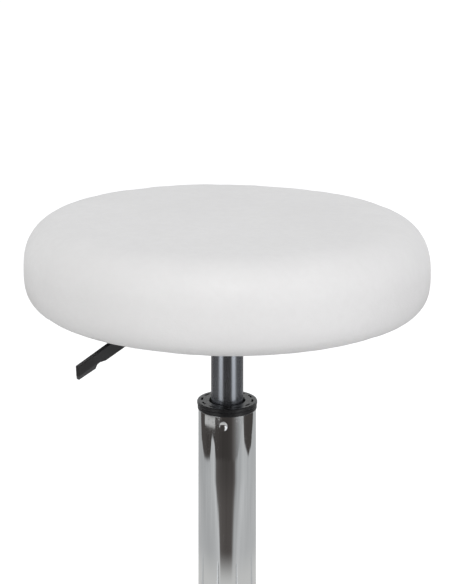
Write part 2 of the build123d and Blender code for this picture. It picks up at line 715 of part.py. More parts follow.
def axle_arc(radius, start, end):
    points = [round_axle(radius, degrees) for degrees in (start, (start + end) / 2, end)]
    return ThreePointArc(*on_xz(points))


def caster_hood():
    """Fender, web between the wheels and stem boss."""
    fender = thick(make_face([
        axle_arc(HOOD_IN_R, HOOD_START, HOOD_END),
        line_xz(round_axle(HOOD_IN_R, HOOD_END), round_axle(HOOD_OUT_R, HOOD_END)),
        axle_arc(HOOD_OUT_R, HOOD_END, HOOD_START),
        line_xz(round_axle(HOOD_OUT_R, HOOD_START), round_axle(HOOD_IN_R, HOOD_START)),
    ]), WHEEL_OUT_Y + 0.6)
    fender = round_rim(fender, HOOD_OUT_R, 1.6)
    web = rod_y(WEB_R, -WEB_HALF, WEB_HALF, -TRAIL, WHEEL_R)
    # the web's rise into the fender
    reach = HOOD_IN_R + 0.6
    rise = [(WEB_R, 20), (reach, 14), (reach, 60), (reach, 100), (WEB_R, 110), (0, 0)]
    web += thick(face_xz([round_axle(*point) for point in rise]), WEB_HALF)
    # stem boss, cleared round the wheels
    boss = rod(9.6, 38.0, 60.6)
    boss = fillet(boss.edges().group_by(Axis.Z)[-1], 1.4)
    boss -= (rod_y(HOOD_IN_R, WEB_HALF, 40, -TRAIL, WHEEL_R)
             + rod_y(HOOD_IN_R, -40, -WEB_HALF, -TRAIL, WHEEL_R))
    body = fender + web + boss
    body -= rod(STEM_LOW_R + 0.06, 45.6, 70.0)
    body -= rod_y(AXLE_R + 0.02, -10, 10, -TRAIL, WHEEL_R)
    return body


def caster_axle():
    return chamfer(rod_y(AXLE_R, -AXLE_HALF, AXLE_HALF, -TRAIL, WHEEL_R).edges(), 0.5)


def caster_wheel(side):
    """Wheel on the +Y (side 1) or -Y (side -1) side: tread, dished face, hub, blind bore."""
    bore_r = AXLE_R + 0.05
    # (radius, distance from the caster's middle plane)
    profile = [
        (bore_r, WHEEL_IN_Y), (21.0, WHEEL_IN_Y), (23.2, 5.9), (24.6, 7.0), (WHEEL_R, 8.6),
        (WHEEL_R, 17.6), (24.5, 19.5), (23.0, 21.0), (21.2, WHEEL_OUT_Y), (20.0, WHEEL_OUT_Y),
        (19.2, 19.2), (17.6, 18.4), (10.0, 18.0), (8.2, 18.8), (7.4, 20.6), (6.0, 21.2),
        (0, 21.4), (0, 19.9), (bore_r, 19.9)]
    outline = Polyline([(radius, side * y, 0) for radius, y in profile], close=True)
    return Pos(-TRAIL, 0, WHEEL_R) * revolve(make_face(outline), Axis.Y)


# ---------------------------------------------------------------- output
# each of these is saved under its function's name
for piece in (
        seat_cover, seat_foam, seat_board, dust_cover, cover_staples, tee_nuts,
        mount_plate, taper_socket, mount_bolts, spring_washers,
        lever_pivot_pin, pivot_bushes, lever_arm, lever_grip,
        gas_cylinder, valve_body, valve_pin, rod_guide, rod_seal,
        piston_rod, piston_head, piston_ring, rod_bumper,
        bearing_upper_washer, bearing_lower_washer, ball_cage, bearing_balls, rod_clip,
        column_tube, guide_sleeve, column_end_plate, base_hub):
    save(piece.__name__, piece())

# one of each per arm, saved together
for piece in (caster_socket, caster_stem, stem_grip_ring):
    save(f"{piece.__name__}s", [turn(angle, piece()) for angle in ARM_AZ])

arm = base_arm()
caster_parts = {
    "caster_hood": caster_hood(),
    "caster_axle": caster_axle(),
    "wheel_left": caster_wheel(1),
    "wheel_right": caster_wheel(-1),
}
for i in range(ARM_N):
    save(f"base_arm_{i + 1}", turn(ARM_AZ[i], arm))
    for name, part in caster_parts.items():
        save(f"{name}_{i + 1}", place_caster(i, part))
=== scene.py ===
import json
import math

import bmesh
import bpy
import numpy as np
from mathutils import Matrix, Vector, noise


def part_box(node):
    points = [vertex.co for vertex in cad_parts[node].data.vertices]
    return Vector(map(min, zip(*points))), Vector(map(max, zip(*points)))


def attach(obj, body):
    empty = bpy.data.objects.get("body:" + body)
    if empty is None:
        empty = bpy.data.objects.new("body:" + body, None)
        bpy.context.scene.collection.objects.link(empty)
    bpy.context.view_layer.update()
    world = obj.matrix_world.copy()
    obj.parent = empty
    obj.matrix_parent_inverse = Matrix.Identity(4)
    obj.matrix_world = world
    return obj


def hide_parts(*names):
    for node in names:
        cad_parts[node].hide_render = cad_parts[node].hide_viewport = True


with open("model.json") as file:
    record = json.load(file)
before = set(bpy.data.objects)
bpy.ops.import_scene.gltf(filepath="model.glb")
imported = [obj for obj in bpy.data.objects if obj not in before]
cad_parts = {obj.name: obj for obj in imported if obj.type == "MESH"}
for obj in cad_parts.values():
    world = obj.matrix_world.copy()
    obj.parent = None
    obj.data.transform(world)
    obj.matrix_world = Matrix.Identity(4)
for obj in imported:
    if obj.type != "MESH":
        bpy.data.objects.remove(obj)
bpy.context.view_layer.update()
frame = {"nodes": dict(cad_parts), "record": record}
NODES = frame["nodes"]
scene = bpy.context.scene
noise.seed_set(7)

# seat numbers, in metres, the same as the model's
SEAT_R, MID_Z = 0.175, 0.4575
TOP_RISE, TOP_ROLL, TOP_POWER = 0.0377, 0.039, 2.38
CROWN, CROWN_FLAT_R = 0.0012, 0.070
LOW_DROP, LOW_ROLL, LOW_POWER = 0.0353, 0.036, 3.2
TUCK_R = 0.118


# ------------------------------------------------------------ node helpers
class Mat:
    """A node material built step by step. Coordinates are the object's own, in metres."""

    def __init__(self, name):
        self.mat = bpy.data.materials.new(name)
        self.mat.use_nodes = True
        self.nt = self.mat.node_tree
        self.nt.nodes.clear()
        self.out = self.nt.nodes.new("ShaderNodeOutputMaterial")
        self.p = self.nt.nodes.new("ShaderNodeBsdfPrincipled")
        self.nt.links.new(self.p.outputs[0], self.out.inputs["Surface"])
        self.tc = self.nt.nodes.new("ShaderNodeTexCoord")
        self.height = None

    def link(self, a, b):
        self.nt.links.new(a, b)

    def put(self, name, value):
        sock = self.p.inputs[name]
        if isinstance(value, bpy.types.NodeSocket):
            self.link(value, sock)
        elif isinstance(value, (tuple, list)):
            sock.default_value = (*value, 1.0) if len(value) == 3 else value
        else:
            sock.default_value = value
        return self

    def coords(self, scale=(1, 1, 1), rot=(0, 0, 0)):
        m = self.nt.nodes.new("ShaderNodeMapping")
        self.link(self.tc.outputs["Object"], m.inputs["Vector"])
        m.inputs["Scale"].default_value = scale
        m.inputs["Rotation"].default_value = rot
        return m.outputs[0]

    def noise(self, scale, detail=3.0, rough=0.5, stretch=(1, 1, 1), distort=0.0, rot=(0, 0, 0)):
        n = self.nt.nodes.new("ShaderNodeTexNoise")
        self.link(self.coords(stretch, rot), n.inputs["Vector"])
        n.inputs["Scale"].default_value = scale
        n.inputs["Detail"].default_value = detail
        n.inputs["Roughness"].default_value = rough
        n.inputs["Distortion"].default_value = distort
        return n.outputs["Fac"]

    def cells(self, scale, feature="F1", output="Distance", stretch=(1, 1, 1), randomness=1.0):
        n = self.nt.nodes.new("ShaderNodeTexVoronoi")
        n.feature = feature
        self.link(self.coords(stretch), n.inputs["Vector"])
        n.inputs["Scale"].default_value = scale
        n.inputs["Randomness"].default_value = randomness
        return n.outputs[output]

    def ramp(self, fac, stops, smooth=False):
        r = self.nt.nodes.new("ShaderNodeValToRGB")
        self.link(fac, r.inputs["Fac"])
        r.color_ramp.interpolation = "EASE" if smooth else "LINEAR"
        while len(r.color_ramp.elements) < len(stops):
            r.color_ramp.elements.new(0.5)
        for e, (pos, val) in zip(r.color_ramp.elements, stops):
            e.position = pos
            e.color = (val, val, val, 1) if isinstance(val, (int, float)) else (*val, 1)
        return r.outputs["Color"]

    def math(self, op, a, b=0.0, c=0.0, clamp=False):
        n = self.nt.nodes.new("ShaderNodeMath")
        n.operation = op
        n.use_clamp = clamp
        for i, v in enumerate((a, b, c)):
            if isinstance(v, bpy.types.NodeSocket):
                self.link(v, n.inputs[i])
            else:
                n.inputs[i].default_value = v
        return n.outputs[0]

    def mix(self, fac, a, b):
        n = self.nt.nodes.new("ShaderNodeMix")
        n.data_type = "RGBA"
        for sock, v in ((n.inputs[0], fac), (n.inputs[6], a), (n.inputs[7], b)):
            if isinstance(v, bpy.types.NodeSocket):
                self.link(v, sock)
            elif isinstance(v, (tuple, list)):
                sock.default_value = (*v, 1.0)
            else:
                sock.default_value = v
        return n.outputs[2]

    def bump(self, height, distance, strength=1.0, edge=0.0):
        """Adds a height field in metres; a small edge radius catches light on hard edges."""
        n = self.nt.nodes.new("ShaderNodeBump")
        n.inputs["Strength"].default_value = strength
        n.inputs["Distance"].default_value = distance
        self.link(height, n.inputs["Height"])
        if self.height is not None:
            self.link(self.height, n.inputs["Normal"])
        elif edge:
            b = self.nt.nodes.new("ShaderNodeBevel")
            b.samples = 4
            b.inputs["Radius"].default_value = edge
            self.link(b.outputs[0], n.inputs["Normal"])
        self.height = n.outputs[0]
        self.link(self.height, self.p.inputs["Normal"])
        return self

    def position(self):
        g = self.nt.nodes.new("ShaderNodeSeparateXYZ")
        self.link(self.tc.outputs["Object"], g.inputs[0])
        return g.outputs


# --------------------------------------------------------------- materials
def make_leather():
    m = Mat("white_leather")
    blotch = m.noise(9.0, 3.0, 0.5)
    fine = m.noise(160.0, 4.0, 0.55)
    grain = m.cells(760.0, "SMOOTH_F1")
    crease = m.noise(420.0, 5.0, 0.6, distort=1.4)
    tone = m.mix(m.ramp(blotch, [(0.35, 0.0), (0.68, 1.0)]), (0.660, 0.654, 0.648), (0.690, 0.684, 0.678))
    tone = m.mix(m.math("MULTIPLY", m.ramp(fine, [(0.40, 0.0), (0.62, 1.0)]), 0.22), tone, (0.635, 0.627, 0.620))
    # painted shade: the colour goes a faint grey towards the lower edge, darker further down
    z = m.position()[2]
    low = m.math("SUBTRACT", 1.0, m.math("DIVIDE", m.math("SUBTRACT", z, 0.422), 0.012), clamp=True)
    tone = m.mix(m.math("MULTIPLY", low, 0.15), tone, (0.56, 0.545, 0.53))
    m.put("Base Color", tone)
    m.put("Roughness", m.math("MULTIPLY_ADD", fine, 0.16, 0.36))
    m.put("Specular IOR Level", 0.42)
    m.put("Sheen Weight", 0.05).put("Sheen Roughness", 0.5)
    m.put("Subsurface Weight", 0.0)
    m.bump(grain, 0.00022, 0.35)
    m.bump(crease, 0.00012, 0.45)
    return m.mat


def make_foam():
    m = Mat("seat_foam")
    m.put("Base Color", m.mix(m.cells(900.0), (0.78, 0.70, 0.50), (0.60, 0.52, 0.35))).put("Roughness", 0.95)
    m.bump(m.cells(900.0), 0.0006, 0.8)
    return m.mat


def make_plywood():
    m = Mat("plywood")
    grain = m.noise(26.0, 5.0, 0.6, stretch=(1, 14, 1), distort=0.6)
    plies = m.nt.nodes.new("ShaderNodeTexWave")
    plies.wave_type, plies.bands_direction = "BANDS", "Z"
    m.link(m.coords(), plies.inputs["Vector"])
    plies.inputs["Scale"].default_value = 130.0
    tone = m.mix(m.ramp(grain, [(0.3, 0.0), (0.7, 1.0)]), (0.50, 0.34, 0.19), (0.66, 0.49, 0.31))
    m.put("Base Color", m.mix(m.math("MULTIPLY", plies.outputs["Fac"], 0.35), tone, (0.34, 0.22, 0.12)))
    m.put("Roughness", 0.7)
    m.bump(grain, 0.0003, 0.5)
    return m.mat


def make_dust_cloth():
    m = Mat("black_nonwoven")
    fibre = m.noise(900.0, 4.0, 0.7, distort=2.5)
    dots = m.cells(520.0, "F1", randomness=0.15)
    tone = m.mix(fibre, (0.010, 0.010, 0.011), (0.035, 0.035, 0.037))
    m.put("Base Color", m.mix(m.ramp(dots, [(0.18, 1.0), (0.30, 0.0)]), tone, (0.008, 0.008, 0.008)))
    m.put("Roughness", 0.92).put("Sheen Weight", 0.15).put("Sheen Roughness", 0.6)
    m.bump(fibre, 0.0003, 0.7)
    m.bump(dots, 0.0003, 0.6)
    return m.mat


def metal(name, low, high, rough, spread=0.1, scale=70.0, stretch=(1, 1, 1), bump=0.00003, edge=0.0003):
    m = Mat(name)
    smudge = m.noise(scale, 4.0, 0.6, stretch=stretch)
    fine = m.noise(scale * 9.0, 3.0, 0.6, stretch=stretch)
    m.put("Base Color", m.mix(m.ramp(smudge, [(0.3, 0.0), (0.7, 1.0)]), low, high))
    m.put("Metallic", 1.0)
    m.put("Roughness", m.math("MULTIPLY_ADD", fine, spread, rough - spread / 2))
    m.bump(fine, bump, 0.5, edge=edge)
    return m.mat


def make_chrome():
    m = Mat("polished_chrome")
    haze = m.noise(14.0, 4.0, 0.6)
    specks = m.noise(700.0, 2.0, 0.5)
    m.put("Base Color", m.mix(haze, (0.755, 0.765, 0.775), (0.80, 0.81, 0.82)))
    m.put("Metallic", 1.0)
    smear = m.math("MULTIPLY_ADD", m.ramp(haze, [(0.45, 0.0), (0.75, 1.0)]), 0.045, 0.028)
    m.put("Roughness", m.math("MULTIPLY_ADD", m.ramp(specks, [(0.62, 0.0), (0.75, 1.0)]), 0.06, smear))
    m.bump(m.noise(45.0, 2.0, 0.5), 0.00002, 0.25, edge=0.00015)
    return m.mat


def plastic(name, low, high, rough, texture, depth, spec=0.5, edge=0.0004, dust=None):
    m = Mat(name)
    cloud = m.noise(45.0, 4.0, 0.6)
    grit = m.noise(texture, 4.0, 0.6)
    tone = m.mix(m.ramp(cloud, [(0.35, 0.0), (0.7, 1.0)]), low, high)
    if dust:
        d = m.ramp(m.noise(120.0, 6.0, 0.7), [(0.46, 0.0), (0.72, 1.0)])
        tone = m.mix(m.math("MULTIPLY", d, dust), tone, (0.20, 0.19, 0.175))
    m.put("Base Color", tone)
    m.put("Roughness", m.math("MULTIPLY_ADD", grit, 0.18, rough - 0.09))
    m.put("Specular IOR Level", spec)
    m.bump(grit, depth, 0.6, edge=edge)
    return m.mat


def make_grip():
    """Satin black grip: deeper at its end, painted lighter along the lower edge as a highlight."""
    m = Mat("satin_black_grip")
    grit = m.noise(1400.0, 4.0, 0.6)
    tone = m.mix(m.ramp(m.noise(45.0, 4.0, 0.6), [(0.35, 0.0), (0.7, 1.0)]), (0.017, 0.017, 0.018), (0.026, 0.026, 0.028))
    x, y, z = m.position()
    turn, slope = math.radians(220.0), math.radians(21.6)
    out = m.math("MULTIPLY_ADD", y, math.sin(turn), m.math("MULTIPLY_ADD", x, math.cos(turn), -0.112))
    up = m.math("SUBTRACT", z, 0.410)
    along = m.math("MULTIPLY_ADD", out, math.cos(slope), m.math("MULTIPLY", up, -math.sin(slope)))
    over = m.math("MULTIPLY_ADD", out, math.sin(slope), m.math("MULTIPLY", up, math.cos(slope)))
    end = m.math("DIVIDE", m.math("SUBTRACT", along, 0.028), 0.010, clamp=True)
    tone = m.mix(end, tone, (0.0125, 0.0115, 0.012))
    # painted highlight: a lighter strip along the lower edge of the paddle stands in for a glint
    painted_edge_highlight = m.math("DIVIDE", m.math("SUBTRACT", -0.0017, over), 0.0012, clamp=True)
    painted_edge_highlight = m.math("MULTIPLY", painted_edge_highlight, m.math("DIVIDE", m.math("SUBTRACT", along, 0.026), 0.004, clamp=True))
    tone = m.mix(m.math("MULTIPLY", painted_edge_highlight, m.math("MULTIPLY_ADD", grit, 0.5, 0.6)), tone, (0.058, 0.058, 0.059))
    m.put("Base Color", tone)
    m.put("Roughness", m.math("MULTIPLY_ADD", grit, 0.18, 0.27))
    m.put("Specular IOR Level", 0.5)
    m.bump(grit, 0.00006, 0.6, edge=0.0004)
    return m.mat


def make_black_tube():
    """Blackened, drawn steel: a dark cool sheen with fine lengthwise marks."""
    m = Mat("blackened_steel_tube")
    draw = m.noise(240.0, 3.0, 0.6, stretch=(1, 1, 0.02))
    wear = m.noise(34.0, 5.0, 0.65, stretch=(1, 1, 0.35))
    m.put("Base Color", m.mix(m.ramp(wear, [(0.35, 0.0), (0.8, 1.0)]), (0.300, 0.316, 0.346), (0.350, 0.366, 0.398)))
    m.put("Metallic", 0.92)
    m.put("Roughness", m.math("MULTIPLY_ADD", draw, 0.08, 0.14))
    # turned and drawn marks smear a reflection along the tube
    around = m.nt.nodes.new("ShaderNodeTangent")
    around.direction_type, around.axis = "RADIAL", "Z"
    m.put("Anisotropic", 0.85)
    m.put("Anisotropic Rotation", 0.25)
    m.put("Tangent", around.outputs["Tangent"])
    m.bump(draw, 0.000008, 0.3, edge=0.0003)
    return m.mat


MATS = {
    "foam": make_foam(),
    "cover": make_leather(),
    "plywood": make_plywood(),
    "dust_cloth": make_dust_cloth(),
    "staple_wire": metal("staple_wire", (0.52, 0.52, 0.53), (0.66, 0.66, 0.67), 0.35, 0.15, 300.0, edge=0.0),
    "zinc_steel": metal("zinc_plate", (0.54, 0.55, 0.57), (0.68, 0.68, 0.66), 0.34, 0.14, 90.0),
    "black_steel": plastic("black_powder_coat", (0.014, 0.014, 0.015), (0.022, 0.022, 0.024), 0.42, 900.0, 0.00016, edge=0.0006),
    "black_tube": make_black_tube(),
    "nylon": plastic("natural_nylon", (0.62, 0.61, 0.56), (0.70, 0.69, 0.64), 0.45, 500.0, 0.00004),
    "black_grip": make_grip(),
    "black_sleeve": plastic("satin_black_sleeve", (0.010, 0.010, 0.0105), (0.016, 0.016, 0.017), 0.27, 1200.0, 0.00012, spec=0.36,
                            edge=0.0002),
    "ground_steel": metal("ground_steel", (0.50, 0.51, 0.53), (0.62, 0.63, 0.65), 0.26, 0.10, 120.0, (1, 1, 0.1)),
    "light_alloy": metal("machined_alloy", (0.62, 0.62, 0.63), (0.72, 0.72, 0.73), 0.32, 0.12, 160.0, (1, 1, 4)),
    "black_rubber": plastic("black_rubber", (0.014, 0.014, 0.014), (0.026, 0.026, 0.026), 0.72, 700.0, 0.00010, spec=0.3),
    "chrome": make_chrome(),
    "black_hood": plastic("textured_black_hood", (0.018, 0.018, 0.019), (0.028, 0.028, 0.030), 0.46, 1500.0, 0.00014, dust=0.10),
    "black_wheel": plastic("moulded_black_wheel", (0.013, 0.013, 0.014), (0.022, 0.022, 0.024), 0.34, 600.0, 0.00005, dust=0.16),
}
SLOT_OF = {s["node"]: s["material_slot"] for s in frame["record"]["subparts"]}
for name, ob in NODES.items():
    slot = SLOT_OF[name]
    ob.data.materials.clear()
    ob.data.materials.append(MATS[slot])


# ------------------------------------------------------------- the cushion
def top_z(r):
    x = max(0.0, (r - (SEAT_R - TOP_ROLL)) / TOP_ROLL)
    roll = TOP_RISE * max(0.0, 1 - x ** TOP_POWER) ** (1 / TOP_POWER)
    k = max(0.0, (r - CROWN_FLAT_R) / (SEAT_R - CROWN_FLAT_R))
    return MID_Z + roll + CROWN * (1 - k * k)


def outline():
    """Cushion outline from the middle of the top to the tucked edge, as (r, z)."""
    pts = [(r, top_z(r)) for r in np.linspace(0.0, SEAT_R - TOP_ROLL, 40)]
    for i in range(1, 61):
        t = math.pi / 2 * (1 - i / 60)
        r = SEAT_R - TOP_ROLL + TOP_ROLL * math.cos(t) ** (2 / TOP_POWER)
        pts.append((r, top_z(r) if i < 60 else MID_Z))
    for i in range(1, 61):
        t = math.pi / 2 * i / 60
        pts.append((SEAT_R - LOW_ROLL + LOW_ROLL * math.cos(t) ** (2 / LOW_POWER),
                    MID_Z - LOW_DROP * math.sin(t) ** (2 / LOW_POWER)))
    pts += [(r, MID_Z - LOW_DROP) for r in np.linspace(pts[-1][0], TUCK_R, 8)[1:]]
    return np.array(pts)


OUT = outline()
ARC = np.concatenate([[0], np.cumsum(np.hypot(*np.diff(OUT, axis=0).T))])
STEP = 0.0045
SIDES = 192
DISC_R = 0.100


def on_outline(s, offset=0.0):
    """Point and outward normal at arc length s, moved inwards by offset."""
    r, z = np.interp(s, ARC, OUT[:, 0]), np.interp(s, ARC, OUT[:, 1])
    h = 0.002
    a = np.array([np.interp(s - h, ARC, OUT[:, 0]), np.interp(s - h, ARC, OUT[:, 1])])
    b = np.array([np.interp(s + h, ARC, OUT[:, 0]), np.interp(s + h, ARC, OUT[:, 1])])
    d = (b - a) / max(1e-9, np.linalg.norm(b - a))
    n = np.array([-d[1], d[0]])
    return r - offset * n[0], z - offset * n[1], n


def cushion_mesh(name, offset, end):
    """Square grid mapped onto the middle disc, then rings over the edge to arc length end."""
    bm = bmesh.new()
    n = SIDES // 4
    grid = {}
    for i in range(n + 1):
        for j in range(n + 1):
            u, v = 2 * i / n - 1, 2 * j / n - 1
            if u == 0 and v == 0:
                x = y = 0.0
            elif abs(u) >= abs(v):
                x, y = u * math.cos(math.pi / 4 * v / u), u * math.sin(math.pi / 4 * v / u)
            else:
                x, y = v * math.sin(math.pi / 4 * u / v), v * math.cos(math.pi / 4 * u / v)
            rr = math.hypot(x, y) * DISC_R
            grid[i, j] = bm.verts.new((x * DISC_R, y * DISC_R, on_outline(rr, offset)[1] if rr > 0 else OUT[0, 1] - offset))
    for i in range(n):
        for j in range(n):
            bm.faces.new((grid[i, j], grid[i + 1, j], grid[i + 1, j + 1], grid[i, j + 1]))
    rim = [grid[i, 0] for i in range(n)] + [grid[n, j] for j in range(n)] \
        + [grid[n - i, n] for i in range(n)] + [grid[0, n - j] for j in range(n)]
    angles = [math.atan2(v.co.y, v.co.x) for v in rim]
    rings = [rim]
    s0 = float(np.interp(DISC_R, OUT[:40, 0], ARC[:40]))
    count = max(2, round((end - s0) / STEP))
    for k in range(1, count + 1):
        r, z, _ = on_outline(s0 + (end - s0) * k / count, offset)
        rings.append([bm.verts.new((r * math.cos(a), r * math.sin(a), z)) for a in angles])
    for a, b in zip(rings, rings[1:]):
        for k in range(len(a)):
            q = (k + 1) % len(a)
            bm.faces.new((a[k], b[k], b[q], a[q]))
    bmesh.ops.recalc_face_normals(bm, faces=bm.faces)
    mesh = bpy.data.meshes.new(name)
    bm.to_mesh(mesh)
    bm.free()
    for p in mesh.polygons:
        p.use_smooth = True
    ob = bpy.data.objects.new(name, mesh)
    scene.collection.objects.link(ob)
    return ob


def read_points(ob):
    co = np.zeros(len(ob.data.vertices) * 3)
    ob.data.vertices.foreach_get("co", co)
    return co.reshape(-1, 3)


def write_points(ob, co):
    ob.data.vertices.foreach_set("co", np.ascontiguousarray(co, dtype=np.float32).ravel())
    ob.data.update()


def inflate(ob, pinned, cap, frames=20, pressure=4.0):
    """Cloth with inner pressure; points named in pinned stay. Returns the moved points."""
    start = read_points(ob)
    group = ob.vertex_groups.new(name="pin")
    for i, w in pinned.items():
        group.add([i], w, "REPLACE")
    mod = ob.modifiers.new("Cloth", "CLOTH")
    c = mod.settings
    c.quality = 6
    c.mass = 0.3
    c.tension_stiffness = c.compression_stiffness = 40
    c.shear_stiffness = 30
    c.bending_stiffness = 6
    c.tension_damping = c.compression_damping = 20
    c.use_pressure = True
    c.uniform_pressure_force = pressure
    c.vertex_group_mass = "pin"
    c.effector_weights.gravity = 0
    mod.collision_settings.use_collision = False
    mod.point_cache.frame_start, mod.point_cache.frame_end = 1, frames
    for f in range(1, frames + 1):
        scene.frame_set(f)
    dg = bpy.context.evaluated_depsgraph_get()
    e = ob.evaluated_get(dg)
    moved = np.array([v.co for v in e.data.vertices])
    ob.modifiers.remove(mod)
    scene.frame_set(1)
    move = moved - start
    length = np.linalg.norm(move, axis=1, keepdims=True)
    return start + move * np.minimum(1.0, cap / np.maximum(length, 1e-9))


def apply_all(ob):
    bpy.context.view_layer.objects.active = ob
    ob.select_set(True)
    for m in list(ob.modifiers):
        bpy.ops.object.modifier_apply(modifier=m.name)
    ob.select_set(False)


END = float(ARC[-1])
cushion = cushion_mesh("seat_cushion_cover", 0.0030, END)
rest = read_points(cushion)
radius = np.hypot(rest[:, 0], rest[:, 1])
under = (rest[:, 2] < MID_Z - LOW_DROP + 0.0045) & (radius < 0.146)
# the flat underside starts at its true height
rest[under, 2] = MID_Z - LOW_DROP + 0.0002
write_points(cushion, rest)
pins = {int(i): 1.0 for i in np.nonzero(under)[0]}
co = inflate(cushion, pins, 0.006)

# The mean of each ring goes back to the measured outline, and what the cloth
# did round the ring stays on top of it.
radius = np.hypot(rest[:, 0], rest[:, 1])
angle = np.arctan2(rest[:, 1], rest[:, 0])
base = np.zeros_like(rest)
normal = np.zeros_like(rest)
dense_s = np.linspace(0, END, 2400)
dense = np.array([on_outline(s, 0.0030)[:2] for s in dense_s])
which = np.array([np.argmin((dense[:, 0] - r) ** 2 + (dense[:, 1] - z) ** 2) for r, z in zip(radius, rest[:, 2])])
for k, i in enumerate(which):
    r, z, n = on_outline(dense_s[i], 0.0)
    c, s = math.cos(angle[k]), math.sin(angle[k])
    base[k] = (r * c, r * s, z)
    normal[k] = (n[0] * c, n[0] * s, n[1])
move = ((co - rest) * normal).sum(1)
smooth = np.zeros(len(move))
for i in np.unique(which // 12):
    pick = which // 12 == i
    smooth[pick] = move[pick].mean()
ripple = np.clip(0.25 * (move - smooth), -0.0003, 0.0003)

# Slack and pull of the sheet: broad soft unevenness on top, short pleats that
# run in to the staples underneath and die out over the lower edge.
extra = np.zeros(len(move))
for k in range(len(move)):
    x, y, z = base[k]
    a, r = angle[k], radius[k]
    extra[k] += 0.00045 * noise.noise(Vector((x * 9.0, y * 9.0, z * 9.0 + 3.0)))
    extra[k] += 0.00016 * noise.noise(Vector((x * 34.0, y * 34.0, z * 22.0 + 8.0)))
    s = dense_s[which[k]]
    pull = min(1.0, max(0.0, (s - (END - 0.052)) / 0.030))
    if pull > 0:
        wave = 0.5 + 0.5 * math.cos(a * 48 + 1.3 * noise.noise(Vector((math.cos(a) * 6, math.sin(a) * 6, 2.0))))
        wave = wave ** 3
        size = 0.45 + 0.55 * noise.noise(Vector((math.cos(a) * 11, math.sin(a) * 11, 5.0)))
        extra[k] -= 0.0009 * pull * wave * max(0.15, size)
        if under[k]:
            extra[k] = min(0.0, extra[k])
points = base + normal * (ripple + extra)[:, None]
# the padding sits a little higher on one side
loose = np.clip((END - 0.024 - dense_s[which]) / 0.018, 0.0, 1.0)
points[:, 2] -= 0.010 * points[:, 0] * loose * loose * (3 - 2 * loose)
write_points(cushion, points)
sub = cushion.modifiers.new("Subdivision", "SUBSURF")
sub.levels = sub.render_levels = 1
sol = cushion.modifiers.new("Sheet", "SOLIDIFY")
sol.thickness, sol.offset = 0.0013, -1.0
apply_all(cushion)
for p in cushion.data.polygons:
    p.use_smooth = True
cushion.data.materials.append(MATS["cover"])
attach(cushion, "seat")
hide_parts("seat_cover")

# foam under the sheet
foam = cushion_mesh("seat_foam_pad", 0.0024, END - 0.026)
bm = bmesh.new()
bm.from_mesh(foam.data)
edge = [e for e in bm.edges if e.is_boundary]
ret = bmesh.ops.extrude_edge_only(bm, edges=edge)
for v in (g for g in ret["geom"] if isinstance(g, bmesh.types.BMVert)):
    f = 0.1465 / math.hypot(v.co.x, v.co.y)
    v.co.x, v.co.y, v.co.z = v.co.x * f, v.co.y * f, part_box("seat_board")[0].z + 0.0012
up = [e for e in bm.edges if e.is_boundary]
ret = bmesh.ops.extrude_edge_only(bm, edges=up)
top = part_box("seat_board")[1].z + 0.0018
for v in (g for g in ret["geom"] if isinstance(g, bmesh.types.BMVert)):
    v.co.z = top
bmesh.ops.contextual_create(bm, geom=[e for e in bm.edges if e.is_boundary])
bmesh.ops.recalc_face_normals(bm, faces=bm.faces)
bm.to_mesh(foam.data)
bm.free()
foam.data.materials.append(MATS["foam"])
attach(foam, "seat")
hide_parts("seat_foam")


# ---------------------------------------------------------- the dust cover
def dust_cloth():
    low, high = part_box("dust_cover")
    r_out = high.x
    bm = bmesh.new()
    rings = [0.0195, 0.028, 0.036, 0.044, 0.052, 0.060, 0.068, 0.075, 0.082, 0.089, 0.095, 0.101, 0.106, 0.110, 0.1135,
             0.1155, 0.1172, 0.120, 0.124, 0.1275, 0.131, 0.1335, r_out - 0.0008, r_out]
    n = 240
    made = []
    plate_half = 0.0765
    turn = math.radians(220.0)
    for r in rings:
        ring = []
        for k in range(n):
            a = 2 * math.pi * k / n
            x, y = r * math.cos(a), r * math.sin(a)
            if r <= 0.1135:
                z = high.z - 0.0003
            else:
                t = min(1.0, (r - 0.1135) / 0.0030)
                z = high.z - 0.0003 + (low.z - high.z + 0.0006) * t
            u = abs(x * math.cos(turn) + y * math.sin(turn))
            v = abs(-x * math.sin(turn) + y * math.cos(turn))
            free = min(1.0, max(0.0, max(u, v) - plate_half) / 0.012) * min(1.0, max(0.0, 0.1135 - r) / 0.012)
            if free > 0:
                z -= free * (0.0009 + 0.0007 * noise.noise(Vector((x * 30, y * 30, 1.0))))
                z -= free * 0.0006 * (0.5 + 0.5 * math.cos(a * 24 + 3 * noise.noise(Vector((x * 14, y * 14, 4.0)))))
            if 0.1175 < r < r_out - 0.0005:
                z -= 0.00025 * (0.5 + 0.5 * math.cos(a * 24)) + 0.0002 * noise.noise(Vector((x * 60, y * 60, 9.0)))
            ring.append(bm.verts.new((x, y, z)))
        made.append(ring)
    centre = bm.verts.new((0, 0, high.z - 0.0003))
    for k in range(n):
        bm.faces.new((centre, made[0][k], made[0][(k + 1) % n]))
    for p, q in zip(made, made[1:]):
        for k in range(n):
            j = (k + 1) % n
            bm.faces.new((p[k], q[k], q[j], p[j]))
    bmesh.ops.recalc_face_normals(bm, faces=bm.faces)
    mesh = bpy.data.meshes.new("seat_dust_cloth")
    bm.to_mesh(mesh)
    bm.free()
    ob = bpy.data.objects.new("seat_dust_cloth", mesh)
    scene.collection.objects.link(ob)
    for p in mesh.polygons:
        p.use_smooth = True
    s = ob.modifiers.new("Sheet", "SOLIDIFY")
    s.thickness, s.offset = 0.0004, 0.0
    apply_all(ob)
    ob.data.materials.append(MATS["dust_cloth"])
    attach(ob, "seat")
    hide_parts("dust_cover")
    return ob


dust = dust_cloth()


# ------------------------------------------------------- smooth CAD shading
for name, ob in NODES.items():
    if ob.hide_render:
        continue
    for p in ob.data.polygons:
        p.use_smooth = True
